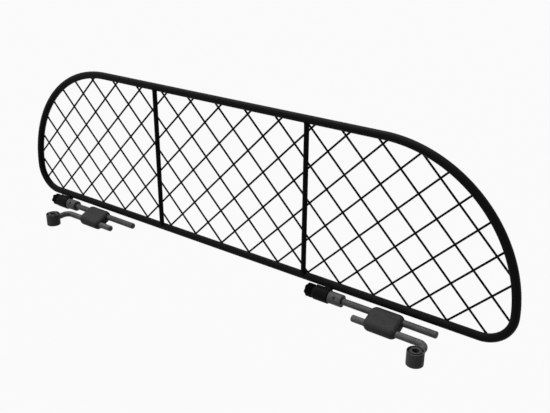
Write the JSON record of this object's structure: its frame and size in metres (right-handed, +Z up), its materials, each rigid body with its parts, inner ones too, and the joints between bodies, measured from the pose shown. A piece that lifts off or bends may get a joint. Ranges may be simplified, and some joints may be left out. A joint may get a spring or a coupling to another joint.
{
  "type": "car dog guard",
  "caption": "Low arched wire mesh panel in a bent tube frame, hung on sliding rod-and-clamp kits that grip the posts of rear headrests.",
  "frame": {"origin": "middle of the underside of the whole guard's box: the post clamps' undersides are at Z 0", "axes": "+X along the panel to the right as seen from the rear seats, +Y from the seats towards the boot, +Z up"},
  "size_m": [1.0664, 0.0924, 0.3187],
  "materials": {
    "black_frame_coat": "satin",
    "black_wire_coat": "satin",
    "black_plastic": "matte",
    "knob_plastic": "matte",
    "grey_steel": "satin",
    "dark_steel": "satin",
    "grey_plastic": "matte",
    "post_shell_coat": "matte",
    "bush_plastic": "matte",
    "brass": "satin"
  },
  "bodies": {
    "panel": {"frame_tube": "black_frame_coat", "left_upright_bar": "black_frame_coat", "right_upright_bar": "black_frame_coat", "wire_mesh": "black_wire_coat"},
    "left_clip": {"left_frame_clip": "black_plastic"},
    "left_rod": {"left_upper_rod": "grey_steel", "left_knob_stud": "dark_steel", "left_collar": "grey_steel", "left_collar_screw": "dark_steel"},
    "left_knob_body": {"left_knob": "knob_plastic"},
    "left_clamp": {"left_clamp_front": "grey_plastic", "left_clamp_rear": "grey_plastic", "left_clamp_bolt_outer": "dark_steel", "left_clamp_bolt_inner": "dark_steel", "left_clamp_insert_outer": "brass", "left_clamp_insert_inner": "brass"},
    "left_arm": {"left_lower_rod": "grey_steel", "left_post_shell": "post_shell_coat", "left_post_bush": "bush_plastic", "left_post_screw": "dark_steel"},
    "right_clip": {"right_frame_clip": "black_plastic"},
    "right_rod": {"right_upper_rod": "grey_steel", "right_knob_stud": "dark_steel", "right_collar": "grey_steel", "right_collar_screw": "dark_steel"},
    "right_knob_body": {"right_knob": "knob_plastic"},
    "right_clamp": {"right_clamp_front": "grey_plastic", "right_clamp_rear": "grey_plastic", "right_clamp_bolt_outer": "dark_steel", "right_clamp_bolt_inner": "dark_steel", "right_clamp_insert_outer": "brass", "right_clamp_insert_inner": "brass"},
    "right_arm": {"right_lower_rod": "grey_steel", "right_post_shell": "post_shell_coat", "right_post_bush": "bush_plastic", "right_post_screw": "dark_steel"}
  },
  "joints": [
    {"name": "left_clip_slide", "type": "slide", "parent": "panel", "child": "left_clip", "axis": [1, 0, 0], "range_m": [-0.035, 0.232]},
    {"name": "left_rod_turn", "type": "hinge", "parent": "left_clip", "child": "left_rod", "pos_m": [-0.4587, 0.02646, 0.02102], "axis": [1, 0, 0], "range_deg": [-74, 136]},
    {"name": "left_knob_turn", "type": "hinge", "parent": "left_rod", "child": "left_knob_body", "pos_m": [-0.46955, 0.02646, 0.02102], "axis": [1, 0, 0], "continuous": true},
    {"name": "left_clamp_slide", "type": "slide", "parent": "left_rod", "child": "left_clamp", "axis": [1, 0, 0], "range_m": [-0.036, 0.07]},
    {"name": "left_lower_rod_turn", "type": "hinge", "parent": "left_clamp", "child": "left_arm", "pos_m": [-0.339, 0.00508, 0.0115], "axis": [-1, 0, 0], "range_deg": [-90, 90]},
    {"name": "right_clip_slide", "type": "slide", "parent": "panel", "child": "right_clip", "axis": [1, 0, 0], "range_m": [-0.175, 0.254]},
    {"name": "right_rod_turn", "type": "hinge", "parent": "right_clip", "child": "right_rod", "pos_m": [0.1976, 0.02646, 0.02102], "axis": [1, 0, 0], "range_deg": [-74, 136]},
    {"name": "right_knob_turn", "type": "hinge", "parent": "right_rod", "child": "right_knob_body", "pos_m": [0.18675, 0.02646, 0.02102], "axis": [1, 0, 0], "continuous": true},
    {"name": "right_clamp_slide", "type": "slide", "parent": "right_rod", "child": "right_clamp", "axis": [1, 0, 0], "range_m": [-0.052, 0.055]},
    {"name": "right_lower_rod_turn", "type": "hinge", "parent": "right_clamp", "child": "right_arm", "pos_m": [0.3327, 0.00508, 0.0115], "axis": [-1, 0, 0], "range_deg": [-90, 90]}
  ]
}
